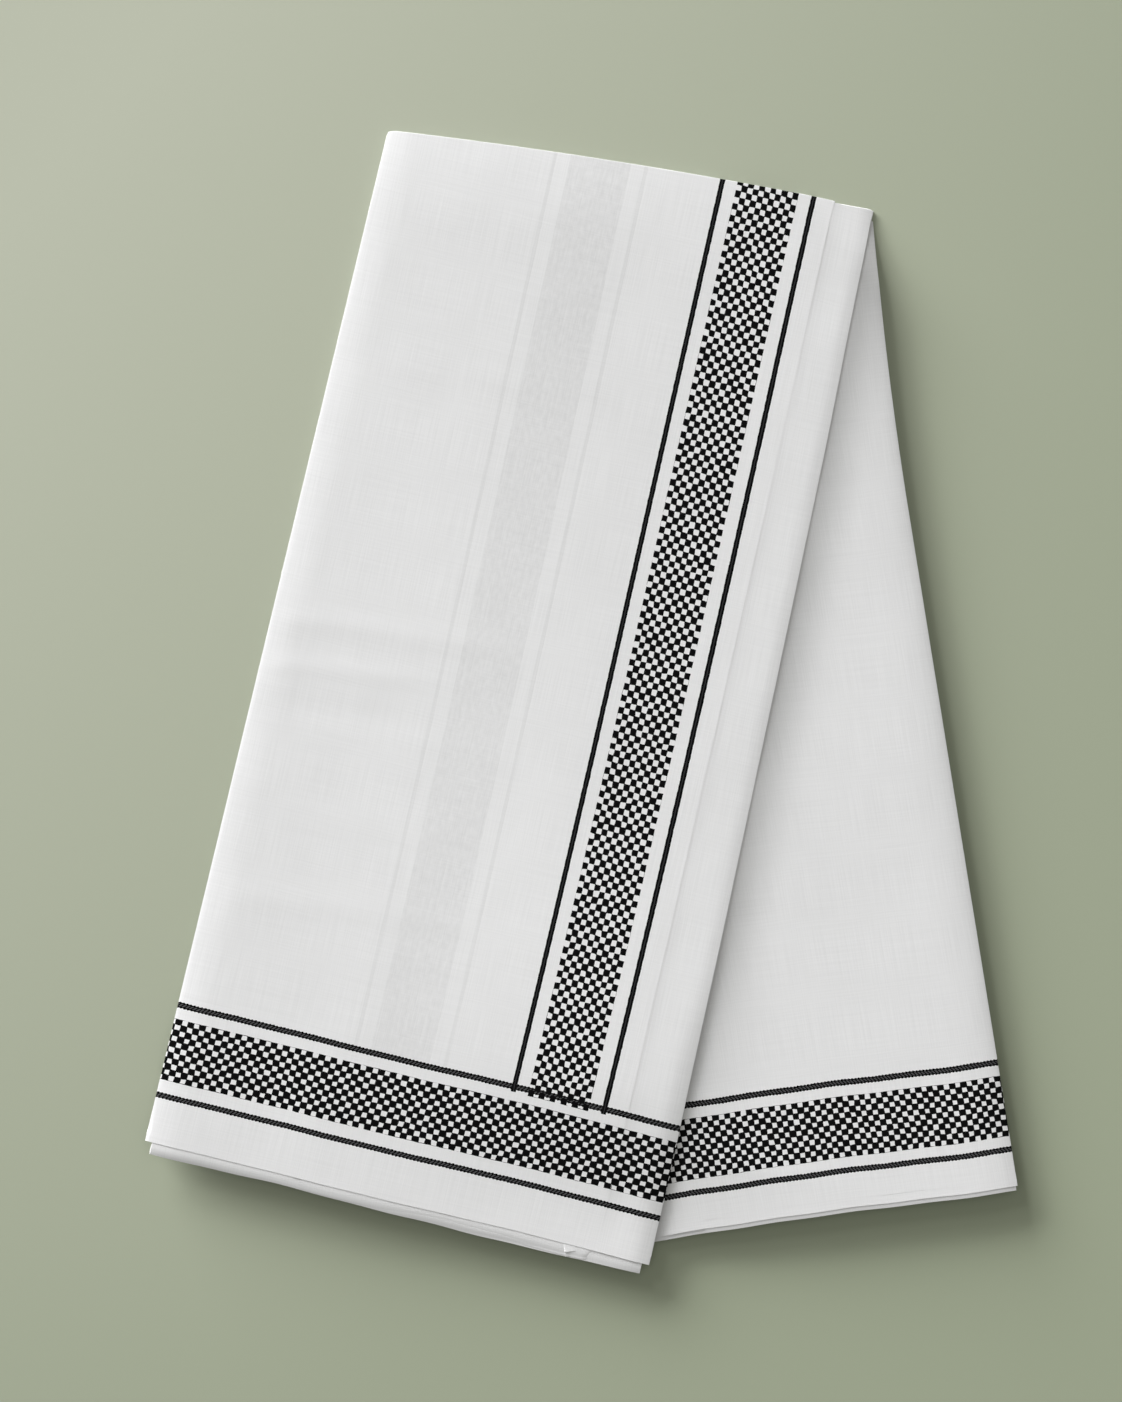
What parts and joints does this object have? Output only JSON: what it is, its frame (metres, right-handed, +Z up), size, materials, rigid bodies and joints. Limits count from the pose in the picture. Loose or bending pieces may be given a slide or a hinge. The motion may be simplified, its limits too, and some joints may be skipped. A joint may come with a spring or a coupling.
{
  "type": "folded mundu",
  "caption": "Cotton waist cloth with black checked borders, folded lengthwise and then across, lying flat with its halves fanned.",
  "frame": {"origin": "on the ground under the middle of the folded cloth's box", "axes": "+Z up from the surface it lies on, +Y towards the turn where the two halves meet, +X towards the side where the back half shows"},
  "size_m": [0.8727, 1.1446, 0.0123],
  "materials": {
    "cotton": "white plain-weave cotton, matt, with black checked borders woven in along the selvedges and across the ends"
  },
  "bodies": {
    "root": {"front_top_layer": "cotton", "front_side_layer": "cotton", "back_top_layer": "cotton", "hidden_layers": "cotton"}
  },
  "joints": []
}
